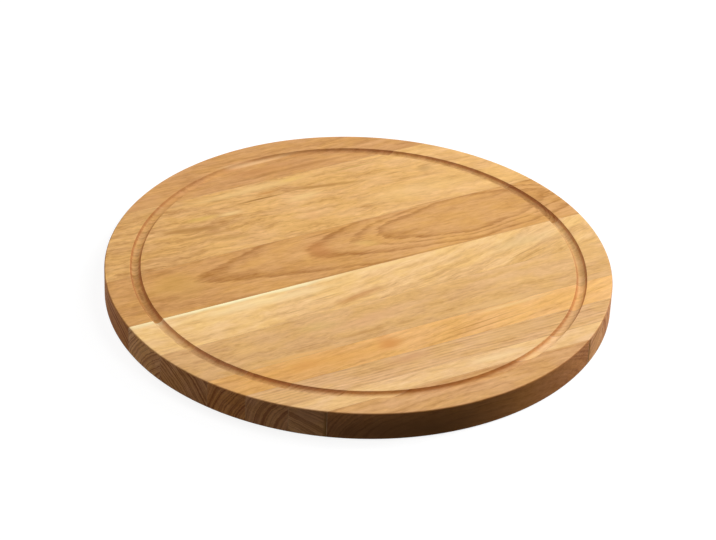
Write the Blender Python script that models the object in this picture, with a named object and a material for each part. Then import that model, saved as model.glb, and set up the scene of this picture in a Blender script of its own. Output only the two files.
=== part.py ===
"""Round wooden serving board with a juice groove, turned from a panel of edge-glued staves.

Every stave is a piece of its own, and so is the dried film of glue in every joint. The board
lies on its flat underside: the origin is the middle of the underside, +Z is up through the
serving face, the grain of every stave runs along X, and the front of the board is -Y.
All sizes are in metres.
"""

from itertools import cycle
import math

import bmesh
import bpy

# The finished round
BOARD_DIAMETER = 0.350
BOARD_THICKNESS = 0.0205
TOP_EDGE_RADIUS = 0.001
UNDERSIDE_EDGE_RADIUS = 0.001

# The juice groove, cut with a round-nosed cutter
RIM_WIDTH = 0.0173
GROOVE_DEPTH = 0.0028
GROOVE_CUTTER_RADIUS = 0.0037
GROOVE_LIP_RADIUS = 0.0004

# The glued panel, whose staves are laid from the middle joint outwards until they pass the rim
MIDDLE_JOINT_Y = -0.0055
FRONT_STAVE_WIDTHS = (0.0385, 0.0395, 0.0245, 0.0215, 0.0155)
REAR_STAVE_WIDTHS = (0.0555, 0.0760)
NARROWEST_OUTER_STAVE = 0.012
GLUE_FILM = 0.00015

# How many flats stand for each curve, and what counts as one point and as a level face
ROUND_STEPS = 144
EDGE_STEPS = 3
GROOVE_STEPS = 8
LIP_STEPS = 2
SAME_POINT = 1e-6
LEVEL_NORMAL = 0.999

# Wood tones from the middle joint outwards, as sRGB hex, and how the surfaces take light
FRONT_TONES = ("EBC085", "DBAE76", "E5B170", "DBAE7A", "EBC18D", "D3A26D")
REAR_TONES = ("D29E62", "DDAD70", "CF9B63")
GLUE_TONE = "9A6A3A"
OILED_WOOD_ROUGHNESS = 0.48
DRY_GLUE_ROUGHNESS = 0.35


def clear_scene():
    """Remove what the scene already holds."""
    for thing in list(bpy.data.objects):
        bpy.data.objects.remove(thing)


def linear_colour(tone):
    """Linear RGBA of an sRGB tone written as six hex digits."""
    parts = [int(tone[i:i + 2], 16) / 255 for i in (0, 2, 4)]
    linear = [p / 12.92 if p <= 0.04045 else ((p + 0.055) / 1.055) ** 2.4 for p in parts]
    return (*linear, 1)


def plain_material(name, tone, roughness):
    """A surface of one tone, with no metal in it."""
    material = bpy.data.materials.new(name)
    material.use_nodes = True
    shader = material.node_tree.nodes["Principled BSDF"]
    shader.inputs["Base Color"].default_value = linear_colour(tone)
    shader.inputs["Roughness"].default_value = roughness
    shader.inputs["Metallic"].default_value = 0
    return material


def arc(centre, radius, start, end, steps):
    """Points of an arc in the section, from one angle to the other with both ends."""
    angles = [start + (end - start) * i / steps for i in range(steps + 1)]
    return [(centre[0] + radius * math.cos(a), centre[1] + radius * math.sin(a)) for a in angles]


def groove_section(outer_lip):
    """Outline of the groove as (distance from the axis, height), from its outer lip inwards.

    The cutter's round nose leaves an arc, and a small rounded lip joins it to the serving face
    on each side. Lip and arc touch on the line between their centres, which leans below the
    horizontal while the cutter's centre stays above the lip's, and is level in a deeper groove.
    """
    cutter_rise = GROOVE_CUTTER_RADIUS - GROOVE_DEPTH
    between_centres = GROOVE_CUTTER_RADIUS + GROOVE_LIP_RADIUS
    lean = math.asin(max(cutter_rise + GROOVE_LIP_RADIUS, 0) / between_centres)
    lip_offset = between_centres * math.cos(lean)
    middle = outer_lip - lip_offset
    lip_height = BOARD_THICKNESS - GROOVE_LIP_RADIUS
    outer = arc((middle + lip_offset, lip_height), GROOVE_LIP_RADIUS,
                math.pi / 2, math.pi - lean, LIP_STEPS)
    cut = arc((middle, BOARD_THICKNESS + cutter_rise), GROOVE_CUTTER_RADIUS,
              -lean, lean - math.pi, GROOVE_STEPS)
    inner = arc((middle - lip_offset, lip_height), GROOVE_LIP_RADIUS,
                lean, math.pi / 2, LIP_STEPS)
    return outer + cut + inner


def board_section():
    """Outline of half the board's section, from the underside's flat up round the rim."""
    radius = BOARD_DIAMETER / 2
    low_edge = arc((radius - UNDERSIDE_EDGE_RADIUS, UNDERSIDE_EDGE_RADIUS),
                   UNDERSIDE_EDGE_RADIUS, -math.pi / 2, 0, EDGE_STEPS)
    top_edge = arc((radius - TOP_EDGE_RADIUS, BOARD_THICKNESS - TOP_EDGE_RADIUS),
                   TOP_EDGE_RADIUS, 0, math.pi / 2, EDGE_STEPS)
    return low_edge + top_edge + groove_section(radius - RIM_WIDTH)


def turned_round():
    """The whole round as turned, a guide that every piece of the panel is cut to."""
    shape = bmesh.new()
    points = [shape.verts.new((reach, 0, height)) for reach, height in board_section()]
    edges = [shape.edges.new(pair) for pair in zip(points, points[1:])]
    bmesh.ops.spin(shape, geom=points + edges, cent=(0, 0, 0), axis=(0, 0, 1),
                   angle=2 * math.pi, steps=ROUND_STEPS)
    bmesh.ops.remove_doubles(shape, verts=shape.verts, dist=SAME_POINT)
    open_rings = [edge for edge in shape.edges if edge.is_boundary]
    bmesh.ops.holes_fill(shape, edges=open_rings, sides=0)
    bmesh.ops.recalc_face_normals(shape, faces=shape.faces)
    for face in shape.faces:
        face.smooth = abs(face.normal.z) < LEVEL_NORMAL
    mesh = bpy.data.meshes.new("turned_round")
    shape.to_mesh(mesh)
    shape.free()
    guide = bpy.data.objects.new("turned_round", mesh)
    bpy.context.scene.collection.objects.link(guide)
    guide.hide_render = True
    guide.display_type = "WIRE"
    return guide


def past_rim():
    """Distance from the axis to which the panel is glued up, well outside the round."""
    return BOARD_DIAMETER / 2 + BOARD_THICKNESS


def cut_from_panel(name, side, other_side, guide, material):
    """The piece of the panel between two planes square to Y, cut to the turned round.

    The panel is three times as thick as the board, so the round is cut all over.
    """
    low = (-past_rim(), min(side, other_side), -BOARD_THICKNESS)
    high = (past_rim(), max(side, other_side), 2 * BOARD_THICKNESS)
    shape = bmesh.new()
    bmesh.ops.create_cube(shape, size=2)
    for corner in shape.verts:
        corner.co = [high[i] if corner.co[i] > 0 else low[i] for i in range(3)]
    mesh = bpy.data.meshes.new(name)
    shape.to_mesh(mesh)
    shape.free()
    mesh.materials.append(material)
    piece = bpy.data.objects.new(name, mesh)
    bpy.context.scene.collection.objects.link(piece)
    turning = piece.modifiers.new("turning", "BOOLEAN")
    turning.operation = "INTERSECT"
    turning.solver = "EXACT"
    turning.object = guide
    return piece


def joints_outwards(widths, outward):
    """Where the joints lie along Y from the middle joint outwards, short of the outer stave."""
    joint = MIDDLE_JOINT_Y
    for width in cycle(widths):
        joint += outward * width
        if abs(joint) > BOARD_DIAMETER / 2 - NARROWEST_OUTER_STAVE:
            return
        yield joint


def glue_line(name, joint, guide, glue):
    """The dried film of glue that fills one joint."""
    return cut_from_panel(name, joint - GLUE_FILM / 2, joint + GLUE_FILM / 2, guide, glue)


def half_panel(side_name, widths, tones, outward, guide, glue):
    """The staves and glue lines on one side of the middle joint."""
    half_film = outward * GLUE_FILM / 2
    joints = list(joints_outwards(widths, outward))
    starts = [MIDDLE_JOINT_Y, *joints]
    ends = [joint - half_film for joint in joints] + [outward * past_rim()]
    pieces = []
    for number, (start, end, tone) in enumerate(zip(starts, ends, cycle(tones)), 1):
        name = f"{side_name}_stave_{number}"
        wood = plain_material(f"{name}_wood", tone, OILED_WOOD_ROUGHNESS)
        pieces.append(cut_from_panel(name, start + half_film, end, guide, wood))
    for number, joint in enumerate(joints, 1):
        pieces.append(glue_line(f"{side_name}_glue_line_{number}", joint, guide, glue))
    return pieces


def build():
    """The whole board, with its pieces held by one empty at the middle of the underside."""
    clear_scene()
    guide = turned_round()
    glue = plain_material("dried_wood_glue", GLUE_TONE, DRY_GLUE_ROUGHNESS)
    pieces = [guide, glue_line("middle_glue_line", MIDDLE_JOINT_Y, guide, glue)]
    pieces += half_panel("front", FRONT_STAVE_WIDTHS, FRONT_TONES, -1, guide, glue)
    pieces += half_panel("rear", REAR_STAVE_WIDTHS, REAR_TONES, 1, guide, glue)
    board = bpy.data.objects.new("round_serving_board", None)
    bpy.context.scene.collection.objects.link(board)
    for piece in pieces:
        piece.parent = board


build()
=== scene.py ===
"""The looks of a round serving board: oiled oak staves, their glue lines and a plain studio.

The file is laid out as a Blender add-on and is run as a script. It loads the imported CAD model
as a fixed frame, turns one fine round to the frame's size, and cuts every stave and every glue
line out of a copy of it. The board lies on its underside with the origin in the middle of it:
+Z is up through the serving face, the grain runs along X and the front of the board is -Y.
Lengths are in metres, and in millimetres where a name ends in _mm.
"""

import math
from typing import NamedTuple

import bmesh
import bpy
from mathutils import Matrix, Vector


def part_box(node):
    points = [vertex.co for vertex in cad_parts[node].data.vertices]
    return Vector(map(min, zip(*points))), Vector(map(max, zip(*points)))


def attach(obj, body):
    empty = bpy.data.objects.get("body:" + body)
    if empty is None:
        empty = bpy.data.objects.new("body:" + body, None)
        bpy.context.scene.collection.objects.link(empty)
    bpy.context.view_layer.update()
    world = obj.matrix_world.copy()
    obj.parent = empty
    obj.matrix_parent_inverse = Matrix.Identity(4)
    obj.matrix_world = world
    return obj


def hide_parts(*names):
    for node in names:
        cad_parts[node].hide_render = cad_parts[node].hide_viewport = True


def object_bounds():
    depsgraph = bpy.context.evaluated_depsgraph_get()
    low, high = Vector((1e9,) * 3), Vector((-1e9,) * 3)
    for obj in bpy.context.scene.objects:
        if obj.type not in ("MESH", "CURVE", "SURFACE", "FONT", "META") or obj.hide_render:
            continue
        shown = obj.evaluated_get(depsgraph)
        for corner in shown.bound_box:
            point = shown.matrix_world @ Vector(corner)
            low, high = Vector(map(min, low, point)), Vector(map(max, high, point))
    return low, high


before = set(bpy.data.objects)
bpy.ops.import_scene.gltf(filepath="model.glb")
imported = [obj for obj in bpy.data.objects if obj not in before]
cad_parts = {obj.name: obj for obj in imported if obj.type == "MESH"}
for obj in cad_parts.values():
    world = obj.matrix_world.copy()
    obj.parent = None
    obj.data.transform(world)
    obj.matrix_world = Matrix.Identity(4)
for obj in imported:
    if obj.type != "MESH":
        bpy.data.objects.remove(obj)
CAD_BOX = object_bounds()

bl_info = {
    "name": "Round serving board",
    "version": (1, 0, 0),
    "blender": (4, 5, 0),
    "location": "3D View > Sidebar > Serving board",
    "description": "Oiled oak staves and glue lines of a round serving board, with its studio",
    "category": "Object",
}

BODY = "root"
MM_PER_METRE = 1000

FRONT_STAVES = sorted(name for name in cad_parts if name.startswith("front_stave_"))
REAR_STAVES = sorted(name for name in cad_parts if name.startswith("rear_stave_"))
GLUE_LINES = sorted(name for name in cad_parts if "glue_line" in name)
DIAMETER = CAD_BOX[1].x - CAD_BOX[0].x
THICKNESS = CAD_BOX[1].z - CAD_BOX[0].z

# How many flats stand for each curve of the turned round, how near two points count as one,
# how much of its normal makes a face an upper one, and up to which angle an edge looks round
ROUND_STEPS = 360
EDGE_STEPS = 5
LIP_STEPS = 4
GROOVE_STEPS = 14
SAME_POINT = 1e-6
UPWARD = 0.5
SOFT_EDGE_ANGLE = math.radians(35)


class Mark(NamedTuple):
    """A streak, spot or patch in the wood, at that depth below the serving face."""

    x_mm: float
    y_mm: float
    length_mm: float
    width_mm: float
    tone: str
    strength: float
    rise: float = 0.0
    below_mm: float = 0.0


class Figure(NamedTuple):
    """How a stave was sawn from its log, which is what draws its grain.

    The pith runs under the crown of the figure, at pith_mm below the serving face, and gets
    deeper away from the crown by the lean. Drift is how far the grain runs off the stave's
    length, sweep how much that grows over 100 mm, ring is the width of a year's growth, and
    wander how far the rings wave about. Rings, lines, streaks, flecks and clouds say how
    strongly each of these patterns shows, and paler_right and paler_rear how much paler the
    stave gets over 100 mm. Growth gives a stave its own rings, as radius and shade, and marks
    are its streaks, spots and patches.
    """

    crown_x_mm: float
    crown_y_mm: float
    pith_mm: float
    lean: float
    drift: float
    ring_mm: float
    wander_mm: float
    rings: float
    lines: float
    streaks: float
    flecks: float
    clouds: float
    seed: float
    sweep: float = 0.0
    paler_right: float = 0.0
    paler_rear: float = 0.0
    growth: tuple = ()
    marks: tuple = ()


# The nested arches of the stave behind the middle joint, from its plain heart outwards, as
# radius in millimetres and shade, where 0.5 is the mean
ARCHES = (
    (69.0, 0.52), (72.4, 0.52), (72.9, 0.30), (73.15, 0.10), (73.45, 0.12), (73.6, 0.60),
    (74.2, 0.50), (74.45, 0.15), (74.6, 0.15), (74.8, 0.62), (75.4, 0.54), (76.0, 0.34),
    (76.4, 0.12), (76.7, 0.10), (77.0, 0.62), (77.8, 0.52), (78.6, 0.56), (79.6, 0.52),
    (80.2, 0.38), (80.6, 0.14), (81.1, 0.10), (81.4, 0.60), (82.4, 0.46), (83.2, 0.58),
    (84.4, 0.40), (85.2, 0.58), (87.0, 0.42), (89.0, 0.56),
)

FIGURES = {
    "front_stave_1": Figure(
        crown_x_mm=240, crown_y_mm=-70, pith_mm=30, lean=0.05, drift=0.13, sweep=0.12,
        ring_mm=6.5, wander_mm=5.0, rings=0.18, lines=0.55, streaks=0.50, flecks=0.50,
        clouds=0.60, seed=1.7, paler_right=-0.04, paler_rear=0.5,
        marks=(
            Mark(-100, -6.0, 230, 9, "FFF4C4", 1.0),
            Mark(-80, -15, 150, 12, "FADDA6", 0.6),
            Mark(10, -8, 120, 7, "F6CE8C", 0.6),
            Mark(-18, -35, 52, 9, "C98F55", 0.7, 0.18),
            Mark(-40, -27, 30, 1.6, "B98246", 0.6, 0.05),
            Mark(-64, -34, 34, 1.6, "C29056", 0.6),
            Mark(66, -20, 36, 5, "C99A5C", 0.5, 0.3),
            Mark(120, -20, 70, 22, "DDBD8C", 0.5, 0.1),
            Mark(110, -34, 44, 1.5, "B98A52", 0.6, 0.3),
            Mark(116, -38, 40, 1.5, "B98A52", 0.6, 0.3),
        ),
    ),
    "front_stave_2": Figure(
        crown_x_mm=-200, crown_y_mm=-20, pith_mm=50, lean=0.02, drift=0.02, ring_mm=6.5,
        wander_mm=5.0, rings=0.08, lines=0.35, streaks=0.45, flecks=0.55, clouds=0.60,
        seed=12.3, paler_right=0.05, paler_rear=0.25,
        marks=(
            Mark(-25, -62, 60, 18, "DCA878", 0.5, 0.1),
            Mark(-62, -56, 40, 14, "DEBA74", 0.4),
            Mark(-36, -75, 40, 5, "C08D54", 0.6),
            Mark(-5, -76, 22, 5, "BE8C52", 0.6),
            Mark(-85, -81.5, 110, 6, "E6B068", 0.6),
            Mark(60, -80, 110, 7, "E8BC7E", 0.6),
        ),
    ),
    "front_stave_3": Figure(
        crown_x_mm=200, crown_y_mm=-140, pith_mm=26, lean=0.03, drift=0.10, sweep=0.05,
        ring_mm=6.0, wander_mm=4.0, rings=0.18, lines=0.55, streaks=0.50, flecks=0.50,
        clouds=0.60, seed=23.9, paler_right=0.10,
        marks=(
            Mark(-70, -96, 150, 26, "E2A455", 0.5),
            Mark(-26, -94, 26, 24, "D6924F", 0.8),
            Mark(-86, -95, 30, 12, "DB9C54", 0.6),
            Mark(40, -97, 90, 1.8, "C08845", 0.8, 0.10),
            Mark(40, -102, 110, 1.6, "C08A4A", 0.7, 0.09),
            Mark(70, -86, 90, 6, "EFC98E", 0.6),
        ),
    ),
    "front_stave_4": Figure(
        crown_x_mm=-40, crown_y_mm=-160, pith_mm=24, lean=0.01, drift=0.0, ring_mm=2.4,
        wander_mm=1.5, rings=0.30, lines=0.50, streaks=0.50, flecks=0.55, clouds=0.50,
        seed=34.1,
        marks=(
            Mark(-20, -114, 50, 12, "D29C6C", 0.6),
            Mark(60, -115, 110, 13, "DDB07A", 0.5),
        ),
    ),
    "front_stave_5": Figure(
        crown_x_mm=100, crown_y_mm=-100, pith_mm=60, lean=0.02, drift=0.01, ring_mm=6.0,
        wander_mm=3.0, rings=0.08, lines=0.35, streaks=0.35, flecks=0.50, clouds=0.35,
        seed=45.6,
        marks=(
            Mark(30, -136, 60, 9, "F6D4A0", 0.6),
            Mark(-20, -144, 60, 1.6, "C39259", 0.5),
        ),
    ),
    "front_stave_6": Figure(
        crown_x_mm=-80, crown_y_mm=-190, pith_mm=30, lean=0.03, drift=0.05, ring_mm=4.5,
        wander_mm=4.0, rings=0.20, lines=0.45, streaks=0.55, flecks=0.60, clouds=0.65,
        seed=56.2, marks=(Mark(-60, -160, 150, 120, "A27A50", 1.0, below_mm=14),),
    ),
    "rear_stave_1": Figure(
        crown_x_mm=100, crown_y_mm=28, pith_mm=70, lean=0.06, drift=0.0, ring_mm=2.5,
        wander_mm=1.4, rings=0.85, lines=0.40, streaks=0.45, flecks=0.55, clouds=0.60,
        seed=67.4, paler_right=0.05, growth=ARCHES,
        marks=(
            Mark(0, -4.6, 330, 1.4, "A5733A", 0.7),
            Mark(-16, 26, 26, 26, "C4844C", 0.6),
            Mark(18, 22, 30, 10, "E8BC72", 0.6, -0.4),
            Mark(-125, 25, 50, 40, "CD9D50", 0.5),
            Mark(-10, 45, 40, 1.8, "A66E34", 0.7, 0.06),
        ),
    ),
    "rear_stave_2": Figure(
        crown_x_mm=-320, crown_y_mm=170, pith_mm=40, lean=0.03, drift=-0.03, ring_mm=9.0,
        wander_mm=7.0, rings=0.16, lines=0.55, streaks=0.85, flecks=0.70, clouds=0.90,
        seed=78.8, paler_right=0.10,
        marks=(
            Mark(-29, 119, 130, 11, "F2CB8C", 0.55),
            Mark(-26, 105.3, 52, 2.6, "9F6C2E", 0.95),
            Mark(26, 103, 70, 5, "B27F3F", 0.75, -0.18),
            Mark(-18, 111, 22, 3.5, "C98A48", 0.7),
            Mark(5, 120, 26, 8, "EAC06C", 0.6),
            Mark(58, 118, 50, 3, "C59A52", 0.7),
            Mark(104, 96, 16, 12, "BC9058", 0.6),
            Mark(-72, 97, 34, 9, "DDB460", 0.7),
            Mark(-52, 96, 24, 6, "F4D090", 0.6),
            Mark(5, 96, 34, 11, "F2CC8A", 0.6, 0.15),
            Mark(-84, 87, 56, 9, "B17F44", 0.8, -0.2),
            Mark(-84, 77, 50, 6, "BC8A4E", 0.7, -0.1),
            Mark(-66, 67, 40, 9, "BC8C50", 0.6, -0.08),
            Mark(-2, 72, 16, 20, "E3AC70", 0.5),
            Mark(90, 72, 110, 26, "F0C684", 0.4),
            Mark(84, 51.5, 60, 3, "C28A4E", 0.7),
            Mark(-95, 122, 60, 9, "D3A26C", 0.6),
        ),
    ),
    "rear_stave_3": Figure(
        crown_x_mm=50, crown_y_mm=210, pith_mm=40, lean=0.02, drift=0.0, ring_mm=5.5,
        wander_mm=3.5, rings=0.14, lines=0.50, streaks=0.60, flecks=0.55, clouds=0.65,
        seed=89.5,
        marks=(
            Mark(20, 134, 110, 6, "AE7540", 0.6),
            Mark(-10, 141, 70, 12, "C78C56", 0.6),
            # A pale streak along the rear groove, a painted highlight of the glint on the
            # groove's wall
            Mark(-4, 155, 80, 4, "F0CC98", 0.6),
            Mark(-90, 130, 70, 12, "D8A468", 0.5),
        ),
    ),
}

# How much deeper than a stave's own tone its darkest grain is, and how much paler its palest
DEEPER = (0.64, 0.53, 0.42)
PALER = (1.26, 1.36, 1.55)

# Sizes of the patterns in the wood, along the grain and across it. Oak's own fibres are about
# 0.2 mm wide, too fine to show at this size, so they are drawn 0.8 mm wide
WANDER_MM = (55, 45)
MARK_EDGE_MM = (55, 18)
FRAY_MM = (16, 1.5)
LINE_MM = (45, 1.3)
STREAK_MM = (28, 3.4)
FLECK_MM = (6, 2.0)
FIBRE_MM = (12, 0.8)
CLOUD_MM = (50, 13)
HUE_MM = (30, 12)
FADING_MM = (30, 9)

# The mean level of a noise, which is also the shade of a stave's own tone, then how much finer
# detail a noise has, how strong that is, and how a stave's seed moves it along each axis
MEAN = 0.5
NOISE_DETAIL = 3
NOISE_ROUGHNESS = 0.6
SEED_STEPS = (1, 1.7, 0.6)

# How round the crown of a figure is, and the length over which its sweep and paling are given
CROWN_BEND_MM = 15
GIVEN_OVER_MM = 100

# How quickly one year's growth differs from the next, and by how much of a ring
UNEVEN_PACE = 0.4
UNEVEN_SHARE = 0.3

# How deep a mark reaches, how the noise frays it along the grain and across it, and where it
# ends and is full, as shares of its half size
MARK_DEPTH_MM = 14
MARK_FRAY = (1.2, 1.6, 0)
MARK_END = 1.1
MARK_FULL = 0.1

# How far the fibres carry the rings back and forth, how strongly they show themselves, and
# how far and how strongly they stand up as relief
FRAYING_MM = 1.3
FIBRE_STRENGTH = 0.60
FIBRE_RELIEF = 0.0001
RELIEF_STRENGTH = 0.25

# Between which levels of noise the fine lines fade in, how faint and how clear that makes
# them, and between which levels the hue turns and the pores of the year rings open
FADING_RANGE = (0.4, 0.6)
LINES_SHOWN = (0.1, 1.2)
HUE_RANGE = (0.4, 0.6)
PORE_RANGE = (0.42, 0.62)

# The two sides that the wood's hue varies between, as multipliers
GOLDEN_SIDE = "FFFCEC"
ROSY_SIDE = "FFFDFF"

# How wood cut round on the lathe is coloured, as multipliers. Along the grain it is painted
# shade, the darker and redder look of the groove's walls and the rim's wall in shade. Across
# its end, and on the year rings there, whose open pores drink the most, it is the oil soaked
# in. Then how much of that last one shows evenly where the groove's cutter has rubbed the pores
SIDE_GRAIN_PAINTED_SHADE = "E6CAAA"
END_GRAIN_TINT = "E9D4CF"
END_RING_TINT = "B49C8C"
RUBBED_PORES = 0.38

# Where a surface starts to count as turned and where it fully does, by the upward part of its
# normal, then the same for upright, and for end grain by the normal's part along the grain
TURNED_RANGE = (0.97, 0.6)
UPRIGHT_RANGE = (0.3, 0.1)
END_GRAIN_RANGE = (0.1, 0.8)

# How strong the oiled wood's gloss is and how widely it spreads, on its faces and on its cut
# ends, then how widely the glue's gloss spreads and how often its tone changes
WOOD_SPECULAR = 0.12
WOOD_ROUGHNESS = 0.62
END_GRAIN_ROUGHNESS = 0.7
GLUE_ROUGHNESS = 0.35
GLUE_PATCHES_PER_METRE = 120

# How pale a year's growth is from its start to its end, where 0.5 is the mean
YEAR = ((0, (0.5, 0.5, 0.5, 1)), (0.12, (0.8, 0.8, 0.8, 1)), (0.5, (0.55, 0.55, 0.55, 1)),
        (0.86, (0, 0, 0, 1)), (1, (0.5, 0.5, 0.5, 1)))

WHITE = (1, 1, 1, 1)

MATH = "ShaderNodeMath"
VECTOR_MATH = "ShaderNodeVectorMath"


def linear_colour(tone):
    """Linear RGBA of an sRGB tone written as six hex digits."""
    parts = [int(tone[i:i + 2], 16) / 255 for i in (0, 2, 4)]
    linear = [p / 12.92 if p <= 0.04045 else ((p + 0.055) / 1.055) ** 2.4 for p in parts]
    return (*linear, 1)


def tone_property(name, tone):
    """A colour that the user can change, with the tone of the photographed board as default."""
    return bpy.props.FloatVectorProperty(
        name=name, description=f"Mean colour of the board's {name.lower()}",
        subtype="COLOR", size=4, min=0, max=1, default=linear_colour(tone))


class BoardSizes(bpy.types.PropertyGroup):
    """Sizes of the turned round. The whole board's come from the frame."""

    diameter: bpy.props.FloatProperty(
        name="Diameter", description="Across the finished round",
        default=DIAMETER, unit="LENGTH")
    thickness: bpy.props.FloatProperty(
        name="Thickness", description="From the underside to the serving face",
        default=THICKNESS, unit="LENGTH")
    edge_radius: bpy.props.FloatProperty(
        name="Edge radius", description="Rounding of the rim's top and bottom edges",
        default=0.001, unit="LENGTH")
    rim_width: bpy.props.FloatProperty(
        name="Rim width", description="From the edge of the board to the groove",
        default=0.0173, unit="LENGTH")
    groove_depth: bpy.props.FloatProperty(
        name="Groove depth", description="Depth of the juice groove",
        default=0.0028, unit="LENGTH")
    cutter_radius: bpy.props.FloatProperty(
        name="Cutter radius", description="Round nose of the cutter that made the groove",
        default=0.0037, unit="LENGTH")
    lip_radius: bpy.props.FloatProperty(
        name="Lip radius", description="Sanded rounding of the groove's two lips",
        default=0.0004, unit="LENGTH")


class BoardTones(bpy.types.PropertyGroup):
    """The mean colour of each stave, and of the glue between them."""

    front_stave_1: tone_property("Front stave 1", "EBC085")
    front_stave_2: tone_property("Front stave 2", "DBAE76")
    front_stave_3: tone_property("Front stave 3", "E5B170")
    front_stave_4: tone_property("Front stave 4", "DBAE7A")
    front_stave_5: tone_property("Front stave 5", "EBC18D")
    front_stave_6: tone_property("Front stave 6", "D3A26D")
    rear_stave_1: tone_property("Rear stave 1", "D29E62")
    rear_stave_2: tone_property("Rear stave 2", "DDAD70")
    rear_stave_3: tone_property("Rear stave 3", "CF9B63")
    glue: tone_property("Dried glue", "C0905A")


class StudioSettings(bpy.types.PropertyGroup):
    """How the studio lights and frames the board."""

    key: bpy.props.FloatProperty(
        name="Key", description="Share of the serving face's light from the right",
        default=0.34, min=0)
    low: bpy.props.FloatProperty(
        name="Low", description="Share of its light from low on the right",
        default=0.115, min=0)
    left: bpy.props.FloatProperty(
        name="Left", description="Share of its light from the left end of the board",
        default=0.15, min=0)
    back: bpy.props.FloatProperty(
        name="Back", description="Share of its light from high behind the board",
        default=0.21, min=0)
    top: bpy.props.FloatProperty(
        name="Top", description="Share of its light from nearly overhead",
        default=0.245, min=0)
    ambient: bpy.props.FloatProperty(
        name="Ambient", description="Share of its light from all round",
        default=0.01, min=0)
    lens_mm: bpy.props.FloatProperty(
        name="Focal length", description="Lens of the camera on a 36 mm wide sensor",
        default=138.33)
    azimuth: bpy.props.FloatProperty(
        name="Azimuth", description="Camera's turn about the board, from straight in front",
        default=math.radians(-28.75), subtype="ANGLE")
    elevation: bpy.props.FloatProperty(
        name="Elevation", description="Camera's height above the horizon",
        default=math.radians(32.992), subtype="ANGLE")
    roll: bpy.props.FloatProperty(
        name="Roll", description="How far the camera leans about its own axis",
        default=math.radians(2.455), subtype="ANGLE")
    distance: bpy.props.FloatProperty(
        name="Distance", description="From the camera to the point it looks at",
        default=1.8917, unit="LENGTH")


# Modelling of the turned round and of what is cut out of it


def select_only(thing):
    """Select this object and nothing else, and make it the active one."""
    bpy.ops.object.select_all(action="DESELECT")
    thing.select_set(True)
    bpy.context.view_layer.objects.active = thing


def pick(piece, kind, wanted):
    """In edit mode, select only those faces or edges of the piece that are wanted."""
    bpy.ops.mesh.select_mode(type=kind)
    bpy.ops.mesh.select_all(action="DESELECT")
    shape = bmesh.from_edit_mesh(piece.data)
    for element in shape.faces if kind == "FACE" else shape.edges:
        element.select_set(wanted(element))
    bmesh.update_edit_mesh(piece.data)


def arc(centre, radius, start, end, steps):
    """Points of an arc in the section, from one angle to the other with both ends."""
    angles = [start + (end - start) * i / steps for i in range(steps + 1)]
    return [(centre[0] + radius * math.cos(a), centre[1] + radius * math.sin(a)) for a in angles]


def cutter_path(sizes):
    """Where the groove's cutter ran, as three numbers.

    They are its distance from the board's axis, how far to each side of it the lips lie, and
    the angle by which the line from a lip's centre to the cutter's leans from the horizontal.
    """
    between_centres = sizes.cutter_radius + sizes.lip_radius
    drop = max(between_centres - sizes.groove_depth, 0)
    lean = math.asin(drop / between_centres)
    lip_offset = between_centres * math.cos(lean)
    return sizes.diameter / 2 - sizes.rim_width - lip_offset, lip_offset, lean


def groove_section(sizes):
    """Outline of the groove as (distance from the axis, height), from its outer lip inwards.

    It has the CAD model's own sizes and construction: the cutter's round nose leaves an arc,
    which a small rounded lip joins to the serving face on each side.
    """
    middle, lip_offset, lean = cutter_path(sizes)
    cutter_height = sizes.thickness + sizes.cutter_radius - sizes.groove_depth
    lip_height = sizes.thickness - sizes.lip_radius
    outer = arc((middle + lip_offset, lip_height), sizes.lip_radius,
                math.pi / 2, math.pi - lean, LIP_STEPS)
    cut = arc((middle, cutter_height), sizes.cutter_radius,
              -lean, lean - math.pi, GROOVE_STEPS)
    inner = arc((middle - lip_offset, lip_height), sizes.lip_radius,
                lean, math.pi / 2, LIP_STEPS)
    return outer + cut[1:] + inner[1:]


def turned_round(sizes):
    """The whole round as it leaves the lathe, with its groove cut and its edges eased."""
    radius = sizes.diameter / 2
    bpy.ops.object.select_all(action="DESELECT")
    bpy.ops.mesh.primitive_cylinder_add(
        vertices=ROUND_STEPS, radius=radius, depth=sizes.thickness,
        location=(0, 0, sizes.thickness / 2))
    bpy.ops.object.transform_apply(location=True, rotation=True, scale=True)
    blank = bpy.context.active_object
    bpy.ops.object.mode_set(mode="EDIT")
    pick(blank, "FACE", lambda face: face.normal.z > UPWARD)
    section = [(radius, sizes.thickness), *groove_section(sizes)]
    for (reach, height), (next_reach, next_height) in zip(section, section[1:]):
        bpy.ops.mesh.inset(thickness=reach - next_reach, depth=next_height - height)
    pick(blank, "EDGE", lambda edge: all(
        math.hypot(corner.co.x, corner.co.y) > radius - SAME_POINT
        for corner in edge.verts) and edge.verts[0].co.z == edge.verts[1].co.z)
    bpy.ops.mesh.bevel(offset=sizes.edge_radius, segments=EDGE_STEPS, affect="EDGES")
    bpy.ops.object.mode_set(mode="OBJECT")
    return blank


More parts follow.
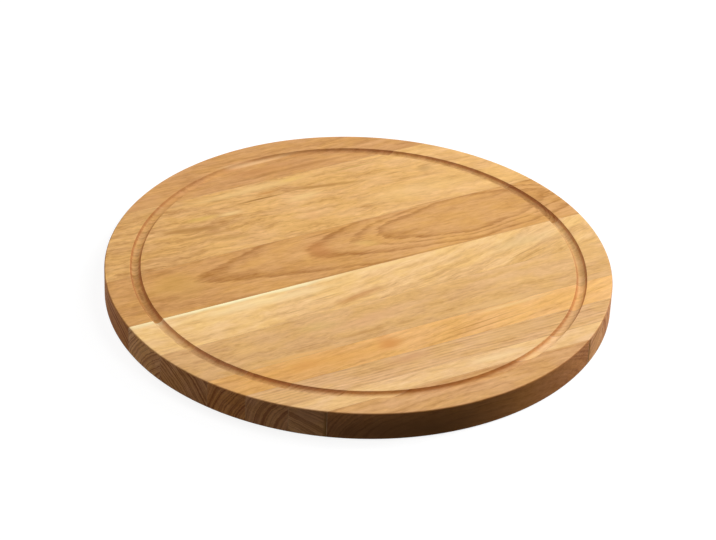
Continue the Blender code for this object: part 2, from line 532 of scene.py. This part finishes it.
def cut_from_round(blank, node, name, material):
    """A piece of the round between the two sides of a CAD node, which it then stands for."""
    low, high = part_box(node)
    rim = DIAMETER / 2 - SAME_POINT
    select_only(blank)
    bpy.ops.object.duplicate()
    piece = bpy.context.active_object
    piece.name = name
    piece.data.name = name
    bpy.ops.object.mode_set(mode="EDIT")
    for side, behind in ((low.y, True), (high.y, False)):
        if abs(side) < rim:
            bpy.ops.mesh.select_all(action="SELECT")
            bpy.ops.mesh.bisect(
                plane_co=(0, side, 0), plane_no=(0, 1, 0), use_fill=True,
                clear_inner=behind, clear_outer=not behind, threshold=SAME_POINT)
    bpy.ops.mesh.select_all(action="SELECT")
    bpy.ops.mesh.remove_doubles(threshold=SAME_POINT)
    bpy.ops.mesh.normals_make_consistent(inside=False)
    bpy.ops.object.mode_set(mode="OBJECT")
    bpy.ops.object.shade_smooth_by_angle(angle=SOFT_EDGE_ANGLE)
    bpy.ops.object.modifier_add(type="WEIGHTED_NORMAL")
    piece.modifiers[-1].keep_sharp = True
    bpy.ops.object.modifier_apply(modifier=piece.modifiers[-1].name)
    piece.data.materials.clear()
    piece.data.materials.append(material)
    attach(piece, BODY)
    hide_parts(node)
    return piece


# Materials


def add(tree, kind, feeds=None, stops=(), **settings):
    """A node of that kind, with its settings and what feeds its inputs.

    A feed is a value, a socket, or a node that stands for its first open output. An input is
    named, or numbered where a node has several of one name. Stops are those of a colour ramp.
    """
    node = tree.nodes.new(kind)
    for setting, value in settings.items():
        setattr(node, setting, value)
    for position, colour in stops:
        stop = node.color_ramp.elements[0] if position == 0 else (
            node.color_ramp.elements[-1] if position == 1
            else node.color_ramp.elements.new(position))
        stop.color = colour
    inputs = {socket.name: socket for socket in reversed(node.inputs) if socket.enabled}
    for name, value in (feeds or {}).items():
        socket = node.inputs[name] if isinstance(name, int) else inputs[name]
        if isinstance(value, bpy.types.Node):
            value = next(output for output in value.outputs if output.enabled)
        if isinstance(value, bpy.types.NodeSocket):
            tree.links.new(value, socket)
        else:
            socket.default_value = value
    return node


def scaled(colour, factors):
    """A linear colour with each part multiplied, no part above full."""
    return (*(min(part * factor, 1) for part, factor in zip(colour, factors)), 1)


def place_in_log(tree, place, figure):
    """Place in the log in millimetres: along the grain, across it and up from the pith."""
    part = add(tree, "ShaderNodeSeparateXYZ", {"Vector": place})
    along = part.outputs["X"]
    from_crown = add(tree, MATH, {0: along, 1: figure.crown_x_mm}, operation="SUBTRACT")
    squared = add(tree, MATH, {0: from_crown, 1: from_crown, 2: CROWN_BEND_MM ** 2},
                  operation="MULTIPLY_ADD")
    bent = add(tree, MATH, {0: squared}, operation="SQRT")
    face_height = THICKNESS * MM_PER_METRE
    crown_height = figure.pith_mm - figure.lean * CROWN_BEND_MM - face_height
    depth = add(tree, MATH, {0: bent, 1: figure.lean, 2: crown_height},
                operation="MULTIPLY_ADD")
    up = add(tree, MATH, {0: depth, 1: part.outputs["Z"]}, operation="ADD")
    slope = add(tree, MATH, {
        0: along, 1: -figure.sweep / (2 * GIVEN_OVER_MM), 2: -figure.drift},
        operation="MULTIPLY_ADD")
    straightened = add(tree, MATH, {0: along, 1: slope, 2: part.outputs["Y"]},
                       operation="MULTIPLY_ADD")
    across = add(tree, MATH, {0: straightened, 1: figure.crown_y_mm},
                 operation="SUBTRACT")
    return add(tree, "ShaderNodeCombineXYZ", {"X": along, "Y": across, "Z": up})


def grain_noise(tree, at, size_mm, seed):
    """Noise drawn out along the grain, of that size in millimetres along it and across it."""
    along_mm, across_mm = size_mm
    stretched = add(tree, "ShaderNodeMapping", {
        "Vector": at, "Location": [seed * step for step in SEED_STEPS],
        "Scale": (1 / along_mm, 1 / across_mm, 1 / across_mm)})
    return add(tree, "ShaderNodeTexNoise", {
        "Vector": stretched, "Scale": 1, "Detail": NOISE_DETAIL, "Roughness": NOISE_ROUGHNESS})


def growth_rings(tree, radius, figure):
    """Shade of the year's growth at that radius, 0 being the mean.

    A year's growth is pale at first and darkens to a line at its end.
    """
    if figure.growth:
        first, last = figure.growth[0][0], figure.growth[-1][0]
        share = add(tree, "ShaderNodeMapRange", {
            "Value": radius, "From Min": first, "From Max": last})
        stops = [((at - first) / (last - first), (shade, shade, shade, 1))
                 for at, shade in figure.growth]
        year = add(tree, "ShaderNodeValToRGB", {"Fac": share}, stops=stops)
    else:
        years = add(tree, MATH, {0: radius, 1: 1 / figure.ring_mm}, operation="MULTIPLY")
        uneven = add(tree, "ShaderNodeTexNoise", {
            "W": radius, "Scale": UNEVEN_PACE / figure.ring_mm, "Detail": 1},
            noise_dimensions="1D")
        age = add(tree, MATH, {0: uneven, 1: UNEVEN_SHARE, 2: years},
                  operation="MULTIPLY_ADD")
        season = add(tree, MATH, {0: age}, operation="FRACT")
        year = add(tree, "ShaderNodeValToRGB", {"Fac": season}, stops=YEAR)
    return add(tree, MATH, {0: year, 1: MEAN}, operation="SUBTRACT")


def marked(tree, colour, place, waves, mark):
    """The colour with a streak or patch on it, drawn out along the grain and broken up."""
    height_mm = THICKNESS * MM_PER_METRE - mark.below_mm
    near = add(tree, "ShaderNodeMapping", {
        "Vector": place, "Location": (mark.x_mm, mark.y_mm, height_mm),
        "Rotation": (0, 0, math.atan(mark.rise)),
        "Scale": (mark.length_mm / 2, mark.width_mm / 2, MARK_DEPTH_MM)},
        vector_type="TEXTURE")
    frayed = add(tree, VECTOR_MATH, {0: waves, 1: MARK_FRAY, 2: near},
                 operation="MULTIPLY_ADD")
    reach = add(tree, VECTOR_MATH, {0: frayed}, operation="LENGTH")
    inside = add(tree, "ShaderNodeMapRange", {
        "Value": reach, "From Min": MARK_END, "From Max": MARK_FULL, "To Max": mark.strength},
        interpolation_type="SMOOTHSTEP")
    return add(tree, "ShaderNodeMix", {
        "Factor": inside, "A": colour, "B": linear_colour(mark.tone)}, data_type="RGBA")


def tinted(tree, colour, share, tint):
    """The colour multiplied by a tint, given as hex digits or a socket, as far as share says."""
    return add(tree, "ShaderNodeMix", {
        "Factor": share, "A": colour,
        "B": linear_colour(tint) if isinstance(tint, str) else tint},
        data_type="RGBA", blend_type="MULTIPLY")


def stave_shade(tree, part, node, figure, patterns):
    """Shade of the wood, where 0.5 is the stave's own tone, 0 its deepest and 1 its palest."""
    low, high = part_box(node)
    middle = (low + high) / 2 * MM_PER_METRE
    rightwards = figure.paler_right / GIVEN_OVER_MM
    rearwards = figure.paler_rear / GIVEN_OVER_MM
    shade = add(tree, MATH, {
        0: part.outputs["X"], 1: rightwards,
        2: MEAN - rightwards * middle.x - rearwards * middle.y}, operation="MULTIPLY_ADD")
    for pattern, strength, rest in ((part.outputs["Y"], rearwards, 0), *patterns):
        level = add(tree, MATH, {0: pattern, 1: strength, 2: -rest * strength},
                    operation="MULTIPLY_ADD")
        shade = add(tree, MATH, {0: shade, 1: level}, operation="ADD")
    return shade


def oiled_oak(name, node, tone, figure, outer_wall):
    """Oak from one log, planed, turned and oiled.

    Flat-sawn oak shows its growth rings as arches and long lines over a fine straight fibre.
    Oil brings out their warm colour and leaves a satin surface, and it soaks into the cut
    ends of the fibres, which turn darker and browner than the faces along the grain. The
    rings are worked out in the solid wood, so they run on over the edges and into the groove.
    Steep side grain, on the groove's walls and on the rim's upright wall, is tinted darker and
    redder as painted shade. The groove's outer wall is spared it, so its side grain stays as
    pale as the faces. That wall lies between two distances from the axis.
    """
    material = bpy.data.materials.new(name)
    material.use_nodes = True
    tree = material.node_tree
    shader = tree.nodes["Principled BSDF"]
    coordinates = add(tree, "ShaderNodeTexCoord")
    place = add(tree, VECTOR_MATH, {
        "Vector": coordinates.outputs["Object"], "Scale": MM_PER_METRE}, operation="SCALE")
    part = add(tree, "ShaderNodeSeparateXYZ", {"Vector": place})
    grain = place_in_log(tree, place, figure)

    # The rings wave about and fray along the fibres, so their radius is taken after both
    waves, mark_waves = (
        add(tree, VECTOR_MATH, {
            0: grain_noise(tree, grain, size_mm, figure.seed).outputs["Color"],
            1: (MEAN, MEAN, MEAN)}, operation="SUBTRACT")
        for size_mm in (WANDER_MM, MARK_EDGE_MM))
    waved = add(tree, VECTOR_MATH, {
        0: waves, 1: (0, 2 * figure.wander_mm, 2 * figure.wander_mm), 2: grain},
        operation="MULTIPLY_ADD")
    square_to_pith = add(tree, VECTOR_MATH, {0: waved, 1: (0, 1, 1)}, operation="MULTIPLY")
    smooth_radius = add(tree, VECTOR_MATH, {0: square_to_pith}, operation="LENGTH")
    fray = grain_noise(tree, grain, FRAY_MM, figure.seed)
    fraying = add(tree, MATH, {0: fray, 1: FRAYING_MM, 2: -FRAYING_MM / 2},
                  operation="MULTIPLY_ADD")
    radius = add(tree, MATH, {0: fraying, 1: smooth_radius.outputs["Value"]},
                 operation="ADD")
    ring = growth_rings(tree, radius, figure)

    # Fine lines follow the rings and fade in and out, and the rest follows the grain
    line_at = add(tree, "ShaderNodeCombineXYZ", {
        "X": add(tree, MATH, {0: part.outputs["X"], 1: 1 / LINE_MM[0]},
                 operation="MULTIPLY"),
        "Y": add(tree, MATH, {0: radius, 1: 1 / LINE_MM[1]}, operation="MULTIPLY"),
        "Z": figure.seed})
    lines = add(tree, "ShaderNodeTexNoise", {
        "Vector": line_at, "Scale": 1, "Detail": NOISE_DETAIL, "Roughness": NOISE_ROUGHNESS})
    fading, streaks, flecks, fibre, clouds, hue = (
        grain_noise(tree, waved, size_mm, figure.seed)
        for size_mm in (FADING_MM, STREAK_MM, FLECK_MM, FIBRE_MM, CLOUD_MM, HUE_MM))
    shown = add(tree, "ShaderNodeMapRange", {
        "Value": fading, "From Min": FADING_RANGE[0], "From Max": FADING_RANGE[1],
        "To Min": LINES_SHOWN[0], "To Max": LINES_SHOWN[1]})
    faded_lines = add(tree, MATH, {0: lines, 1: MEAN}, operation="SUBTRACT")
    faded_lines = add(tree, MATH, {0: faded_lines, 1: shown}, operation="MULTIPLY")
    shade = stave_shade(tree, part, node, figure, (
        (ring, figure.rings, 0), (faded_lines, figure.lines, 0),
        (streaks, figure.streaks, MEAN), (flecks, figure.flecks, MEAN),
        (clouds, figure.clouds, MEAN), (fibre, FIBRE_STRENGTH, MEAN)))
    colour = add(tree, "ShaderNodeValToRGB", {"Fac": shade}, stops=(
        (0, scaled(tone, DEEPER)), (MEAN, tone), (1, scaled(tone, PALER))))
    side = add(tree, "ShaderNodeMapRange", {
        "Value": hue, "From Min": HUE_RANGE[0], "From Max": HUE_RANGE[1]})
    sides = add(tree, "ShaderNodeMix", {
        "Factor": side, "A": linear_colour(GOLDEN_SIDE), "B": linear_colour(ROSY_SIDE)},
        data_type="RGBA")
    colour = tinted(tree, colour, 1.0, sides)
    for mark in figure.marks:
        colour = marked(tree, colour, place, mark_waves, mark)

    # Turned surfaces are tinted: the cut ends of the fibres by the oil soaked into them, the side
    # grain by a painted shade, which the groove's outer wall is spared
    facing = add(tree, "ShaderNodeSeparateXYZ", {"Vector": coordinates.outputs["Normal"]})
    flatness = add(tree, MATH, {0: facing.outputs["Z"]}, operation="ABSOLUTE")
    turned = add(tree, "ShaderNodeMapRange", {
        "Value": flatness, "From Min": TURNED_RANGE[0], "From Max": TURNED_RANGE[1]},
        interpolation_type="SMOOTHSTEP")
    along = add(tree, MATH, {0: facing.outputs["X"]}, operation="ABSOLUTE")
    end_grain = add(tree, "ShaderNodeMapRange", {
        "Value": along, "From Min": END_GRAIN_RANGE[0], "From Max": END_GRAIN_RANGE[1]},
        interpolation_type="SMOOTHSTEP")
    level_place = add(tree, VECTOR_MATH, {0: place, 1: (1, 1, 0)}, operation="MULTIPLY")
    from_axis = add(tree, VECTOR_MATH, {0: level_place}, operation="LENGTH")
    nearest_mm, farthest_mm = (distance * MM_PER_METRE for distance in outer_wall)
    # The groove's outer wall, whose side grain is spared the painted shade
    on_outer_wall = add(tree, MATH, {
        0: from_axis.outputs["Value"], 1: (nearest_mm + farthest_mm) / 2,
        2: (farthest_mm - nearest_mm) / 2}, operation="COMPARE")
    side_grain = add(tree, MATH, {0: 1.0, 1: end_grain}, operation="SUBTRACT")
    pale = add(tree, MATH, {0: on_outer_wall, 1: side_grain}, operation="MULTIPLY")
    turned = add(tree, MATH, {0: turned, 1: pale}, operation="SUBTRACT", use_clamp=True)
    oil_and_painted_shade = add(tree, "ShaderNodeMix", {
        "Factor": end_grain, "A": linear_colour(SIDE_GRAIN_PAINTED_SHADE),
        "B": linear_colour(END_GRAIN_TINT)}, data_type="RGBA")
    # Painted shade on the steep side grain, and the oil's colour on the cut ends
    colour = tinted(tree, colour, turned, oil_and_painted_shade)

    # The year rings show on the rim's upright wall, and the cutter rubs their pores even in
    # the groove
    upright = add(tree, "ShaderNodeMapRange", {
        "Value": flatness, "From Min": UPRIGHT_RANGE[0], "From Max": UPRIGHT_RANGE[1]},
        interpolation_type="SMOOTHSTEP")
    open_rings = add(tree, "ShaderNodeMapRange", {
        "Value": lines, "From Min": PORE_RANGE[0], "From Max": PORE_RANGE[1]})
    open_pores = add(tree, "ShaderNodeMix", {
        "Factor": upright, "A": RUBBED_PORES, "B": open_rings})
    ring_ends = add(tree, MATH, {0: open_pores, 1: end_grain}, operation="MULTIPLY")
    colour = tinted(tree, colour, ring_ends, END_RING_TINT)
    roughness = add(tree, "ShaderNodeMapRange", {
        "Value": end_grain, "To Min": WOOD_ROUGHNESS, "To Max": END_GRAIN_ROUGHNESS})
    bump = add(tree, "ShaderNodeBump", {
        "Height": fibre, "Strength": RELIEF_STRENGTH, "Distance": FIBRE_RELIEF})
    tree.links.new(colour.outputs[2], shader.inputs["Base Color"])
    tree.links.new(roughness.outputs[0], shader.inputs["Roughness"])
    tree.links.new(bump.outputs[0], shader.inputs["Normal"])
    shader.inputs["Specular IOR Level"].default_value = WOOD_SPECULAR
    return material


def dried_wood_glue(name, tone):
    """Wood glue squeezed thin and dried: a glassy brown film, scraped and oiled with the wood."""
    material = bpy.data.materials.new(name)
    material.use_nodes = True
    tree = material.node_tree
    shader = tree.nodes["Principled BSDF"]
    coordinates = add(tree, "ShaderNodeTexCoord")
    uneven = add(tree, "ShaderNodeTexNoise", {
        "Vector": coordinates.outputs["Object"], "Scale": GLUE_PATCHES_PER_METRE,
        "Detail": 2})
    colour = add(tree, "ShaderNodeValToRGB", {"Fac": uneven}, stops=(
        (0, scaled(tone, DEEPER)), (1, scaled(tone, PALER))))
    tree.links.new(colour.outputs[0], shader.inputs["Base Color"])
    shader.inputs["Roughness"].default_value = GLUE_ROUGHNESS
    return material


def make_staves(nodes, sizes, tones):
    """Cut and finish the staves that stand for these nodes."""
    blank = turned_round(sizes)
    middle, lip_offset, _ = cutter_path(sizes)
    for node in nodes:
        wood = oiled_oak(f"oiled_oak_{node}", node, getattr(tones, node), FIGURES[node],
                         (middle, middle + lip_offset))
        piece = cut_from_round(blank, node, f"{node}_oiled", wood)
    bpy.data.objects.remove(blank)


class SERVING_BOARD_OT_front_staves(bpy.types.Operator):
    """Make the staves in front of the middle joint"""

    bl_idname = "serving_board.front_staves"
    bl_label = "Front staves"

    def execute(self, context):
        make_staves(FRONT_STAVES, context.scene.board_sizes, context.scene.board_tones)
        return {"FINISHED"}


class SERVING_BOARD_OT_rear_staves(bpy.types.Operator):
    """Make the staves behind the middle joint"""

    bl_idname = "serving_board.rear_staves"
    bl_label = "Rear staves"

    def execute(self, context):
        make_staves(REAR_STAVES, context.scene.board_sizes, context.scene.board_tones)
        return {"FINISHED"}


class SERVING_BOARD_OT_glue_lines(bpy.types.Operator):
    """Make the film of dried glue in every joint"""

    bl_idname = "serving_board.glue_lines"
    bl_label = "Glue lines"

    def execute(self, context):
        blank = turned_round(context.scene.board_sizes)
        glue = dried_wood_glue("dried_wood_glue", context.scene.board_tones.glue)
        for node in GLUE_LINES:
            piece = cut_from_round(blank, node, f"{node}_dried", glue)
        bpy.data.objects.remove(blank)
        return {"FINISHED"}


# Studio

FLOOR_SIZE = 8.0
# The floor lies a hair below the underside, so that the two never flicker through each other
FLOOR_GAP = 0.0002
# How bright the floor glows by itself, and its tone as it is seen and as it throws light back
FLOOR_GLOW = 0.84
FLOOR_SEEN = "8C8C8C"
FLOOR_THROWN = "383838"

# Where each lamp stands, as its turn from the board's right and its height, in degrees
LAMP_PLACES = {
    "key": (0, 33), "low": (-2, 15), "left": (176, 31), "back": (100, 58), "top": (-30, 62)}
LAMP_SIZE = 1.3
LAMP_DISTANCE = 3.0

LOOK_AT = (-0.003917, -0.006209, THICKNESS)
SENSOR_MM = 36


def seen_or_mirrored(tree):
    """1 for what the camera, a reflection or a clear material looks at, 0 for light."""
    path = add(tree, "ShaderNodeLightPath")
    seen = add(tree, MATH, {
        0: path.outputs["Is Camera Ray"], 1: path.outputs["Is Glossy Ray"]},
        operation="MAXIMUM")
    return add(tree, MATH, {0: seen, 1: path.outputs["Is Transmission Ray"]},
               operation="MAXIMUM")


def matt_floor():
    """Matt white paper that glows enough to look white and still shows the board's shadow.

    The light that it throws back on the board is that of a dark grey floor.
    """
    material = bpy.data.materials.new("matt_paper_floor")
    material.use_nodes = True
    tree = material.node_tree
    tree.nodes.clear()
    glow = add(tree, "ShaderNodeEmission", {"Color": WHITE, "Strength": FLOOR_GLOW})
    paper = add(tree, "ShaderNodeBsdfDiffuse", {"Color": linear_colour(FLOOR_SEEN)})
    white = add(tree, "ShaderNodeAddShader", {0: glow, 1: paper})
    grey = add(tree, "ShaderNodeBsdfDiffuse", {"Color": linear_colour(FLOOR_THROWN)})
    shown = add(tree, "ShaderNodeMixShader", {0: seen_or_mirrored(tree), 1: grey, 2: white})
    add(tree, "ShaderNodeOutputMaterial", {"Surface": shown})
    return material


def studio_world(ambient):
    """White where the camera or a reflection looks, and dim as a light."""
    world = bpy.data.worlds.new("white_studio")
    world.use_nodes = True
    tree = world.node_tree
    tree.nodes.clear()
    dim = add(tree, "ShaderNodeBackground", {"Color": WHITE, "Strength": ambient})
    white = add(tree, "ShaderNodeBackground", {"Color": WHITE, "Strength": 1.0})
    shown = add(tree, "ShaderNodeMixShader", {0: seen_or_mirrored(tree), 1: dim, 2: white})
    add(tree, "ShaderNodeOutputWorld", {"Surface": shown})
    return world


def soft_lamp(name, share, azimuth, elevation):
    """A square area lamp that faces the middle of the board from that direction.

    Its share is how bright it alone makes a level white surface, where 1 is white.
    """
    out = Vector((
        math.cos(azimuth) * math.cos(elevation),
        math.sin(azimuth) * math.cos(elevation),
        math.sin(elevation)))
    bpy.ops.object.light_add(
        type="AREA", location=out * LAMP_DISTANCE,
        rotation=out.to_track_quat("Z", "Y").to_euler())
    lamp = bpy.context.active_object
    lamp.name = name
    lamp.data.energy = share * (math.pi * LAMP_DISTANCE) ** 2 / math.sin(elevation)
    lamp.data.size = LAMP_SIZE
    return lamp


def photo_camera(studio):
    """The camera at the photograph's place, for a picture of 716 by 540."""
    turn = (Matrix.Rotation(studio.azimuth, 3, "Z")
            @ Matrix.Rotation(math.pi / 2 - studio.elevation, 3, "X")
            @ Matrix.Rotation(studio.roll, 3, "Z"))
    place = Vector(LOOK_AT) + turn @ Vector((0, 0, studio.distance))
    bpy.ops.object.camera_add(location=place, rotation=turn.to_euler())
    camera = bpy.context.active_object
    camera.data.lens = studio.lens_mm
    camera.data.sensor_width = SENSOR_MM
    bpy.context.scene.camera = camera


class SERVING_BOARD_OT_studio(bpy.types.Operator):
    """Set up the floor, the lamps, the world and the camera"""

    bl_idname = "serving_board.studio"
    bl_label = "Studio"

    def execute(self, context):
        studio = context.scene.board_studio
        bpy.ops.object.select_all(action="DESELECT")
        bpy.ops.mesh.primitive_plane_add(size=FLOOR_SIZE, location=(0, 0, -FLOOR_GAP))
        floor = context.active_object
        floor.name = "studio_floor"
        floor.data.materials.append(matt_floor())
        for name, place in LAMP_PLACES.items():
            azimuth, elevation = map(math.radians, place)
            lamp = soft_lamp(f"{name}_lamp", getattr(studio, name), azimuth, elevation)
            # The low lamp's mirror image would lie as a white glare on the face, seen from the
            # left, so it is kept out of reflections
            lamp.visible_glossy = name != "low"
        context.scene.world = studio_world(studio.ambient)
        photo_camera(studio)
        context.scene.view_settings.view_transform = "Standard"
        return {"FINISHED"}


class SERVING_BOARD_PT_sidebar(bpy.types.Panel):
    """The board's pieces, sizes, colours and studio"""

    bl_idname = "SERVING_BOARD_PT_sidebar"
    bl_label = "Serving board"
    bl_space_type = "VIEW_3D"
    bl_region_type = "UI"
    bl_category = "Serving board"

    def draw(self, context):
        for operator in OPERATORS:
            self.layout.operator(operator.bl_idname)
        scene = context.scene
        for group in (scene.board_sizes, scene.board_tones, scene.board_studio):
            box = self.layout.box()
            for name in group.__annotations__:
                box.prop(group, name)


OPERATORS = (
    SERVING_BOARD_OT_studio,
    SERVING_BOARD_OT_front_staves,
    SERVING_BOARD_OT_rear_staves,
    SERVING_BOARD_OT_glue_lines,
)
CLASSES = (BoardSizes, BoardTones, StudioSettings, *OPERATORS, SERVING_BOARD_PT_sidebar)


def register():
    for item in CLASSES:
        bpy.utils.register_class(item)
    bpy.types.Scene.board_sizes = bpy.props.PointerProperty(type=BoardSizes)
    bpy.types.Scene.board_tones = bpy.props.PointerProperty(type=BoardTones)
    bpy.types.Scene.board_studio = bpy.props.PointerProperty(type=StudioSettings)


def unregister():
    del bpy.types.Scene.board_studio
    del bpy.types.Scene.board_tones
    del bpy.types.Scene.board_sizes
    for item in reversed(CLASSES):
        bpy.utils.unregister_class(item)


def main():
    """Make everything: the studio, the front and rear staves and the glue lines."""
    register()
    bpy.ops.serving_board.studio()
    bpy.ops.serving_board.front_staves()
    bpy.ops.serving_board.rear_staves()
    bpy.ops.serving_board.glue_lines()


if __name__ == "__main__":
    main()
